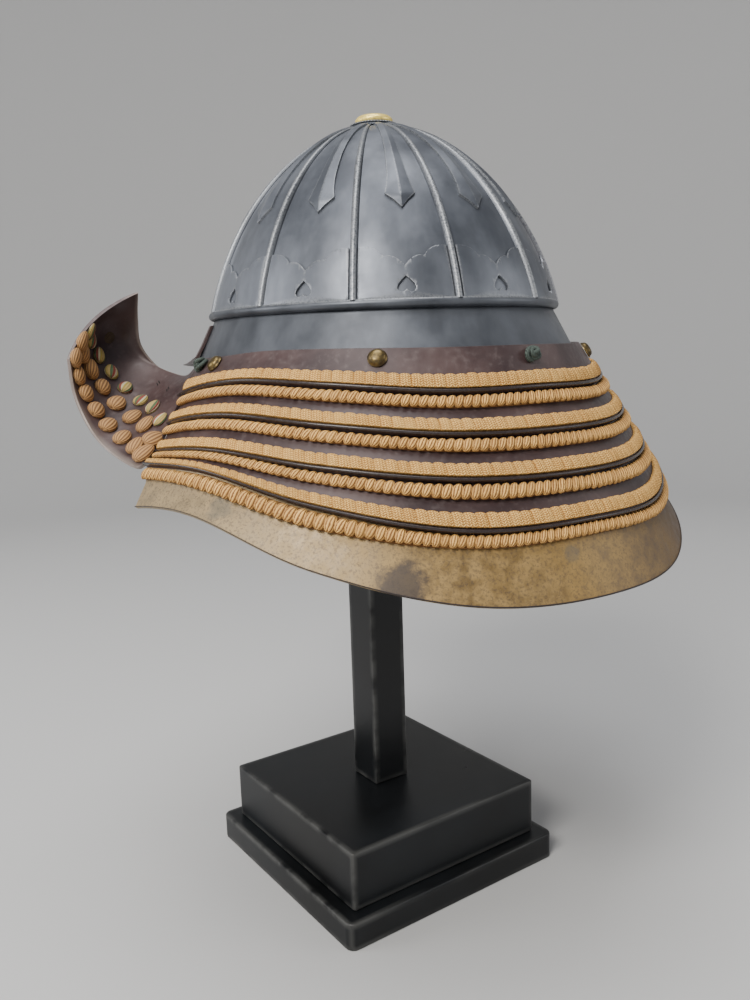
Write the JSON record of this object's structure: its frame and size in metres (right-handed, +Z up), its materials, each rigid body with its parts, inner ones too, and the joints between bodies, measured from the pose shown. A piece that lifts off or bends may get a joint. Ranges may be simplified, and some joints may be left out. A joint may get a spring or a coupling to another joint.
{
  "type": "kabuto samurai helmet on display stand",
  "caption": "Japanese samurai helmet with a ribbed plate bowl, peak, laced neck guard and turned-back side wings, resting on a wooden post stand.",
  "frame": {"origin": "middle of the stand's underside, on the surface that it stands on", "axes": "+Z up, -Y the way that the wearer faces, +X the wearer's left"},
  "size_m": [0.3792, 0.3808, 0.5036],
  "materials": {
    "black_wood": "black lacquer, satin, worn grey along the edges",
    "iron_plate": "blue-grey russet iron under thin lacquer, satin",
    "brown_lacquer": "dark purple-brown lacquer over iron, shiny rims",
    "worn_gold": "worn gold lacquer over brown, stained",
    "straw_lacing": "straw-yellow silk cords, matt",
    "tan_lacing": "tan silk rope lacing, matt",
    "gilt": "old gilt, satin",
    "dark_brass": "dark patinated brass, semi-gloss",
    "green_cord": "dark green silk cord, matt"
  },
  "bodies": {
    "root": {"stand_plinth": "black_wood", "stand_block": "black_wood", "stand_post": "black_wood", "stand_pad": "black_wood", "bowl_plate_01": "iron_plate", "bowl_plate_02": "iron_plate", "bowl_plate_03": "iron_plate", "bowl_plate_04": "iron_plate", "bowl_plate_05": "iron_plate", "bowl_plate_06": "iron_plate", "bowl_plate_07": "iron_plate", "bowl_plate_08": "iron_plate", "bowl_plate_09": "iron_plate", "bowl_plate_10": "iron_plate", "bowl_plate_11": "iron_plate", "bowl_plate_12": "iron_plate", "fence_plate_01": "iron_plate", "fence_plate_02": "iron_plate", "fence_plate_03": "iron_plate", "fence_plate_04": "iron_plate", "fence_plate_05": "iron_plate", "fence_plate_06": "iron_plate", "fence_plate_07": "iron_plate", "fence_plate_08": "iron_plate", "fence_plate_09": "iron_plate", "fence_plate_10": "iron_plate", "fence_plate_11": "iron_plate", "fence_plate_12": "iron_plate", "crown_blades": "iron_plate", "bowl_rim": "iron_plate", "crown_collar": "iron_plate", "crown_button": "gilt", "waistband": "brown_lacquer", "peak": "brown_lacquer", "lame_1_with_wings": "brown_lacquer", "lame_2": "brown_lacquer", "lame_3": "brown_lacquer", "lame_4": "brown_lacquer", "lame_5": "worn_gold", "flat_lacing_1": "straw_lacing", "flat_lacing_2": "straw_lacing", "flat_lacing_3": "straw_lacing", "flat_lacing_4": "straw_lacing", "rope_lacing_1": "tan_lacing", "rope_lacing_2": "tan_lacing", "rope_lacing_3": "tan_lacing", "rope_lacing_4": "tan_lacing", "wing_lacing_left": "tan_lacing", "wing_lacing_right": "tan_lacing", "band_rivet_1": "dark_brass", "band_rivet_2": "dark_brass", "band_rivet_3": "dark_brass", "band_rivet_4": "dark_brass", "cord_knot_1": "green_cord", "cord_knot_2": "green_cord", "cord_knot_3": "green_cord"}
  },
  "joints": []
}
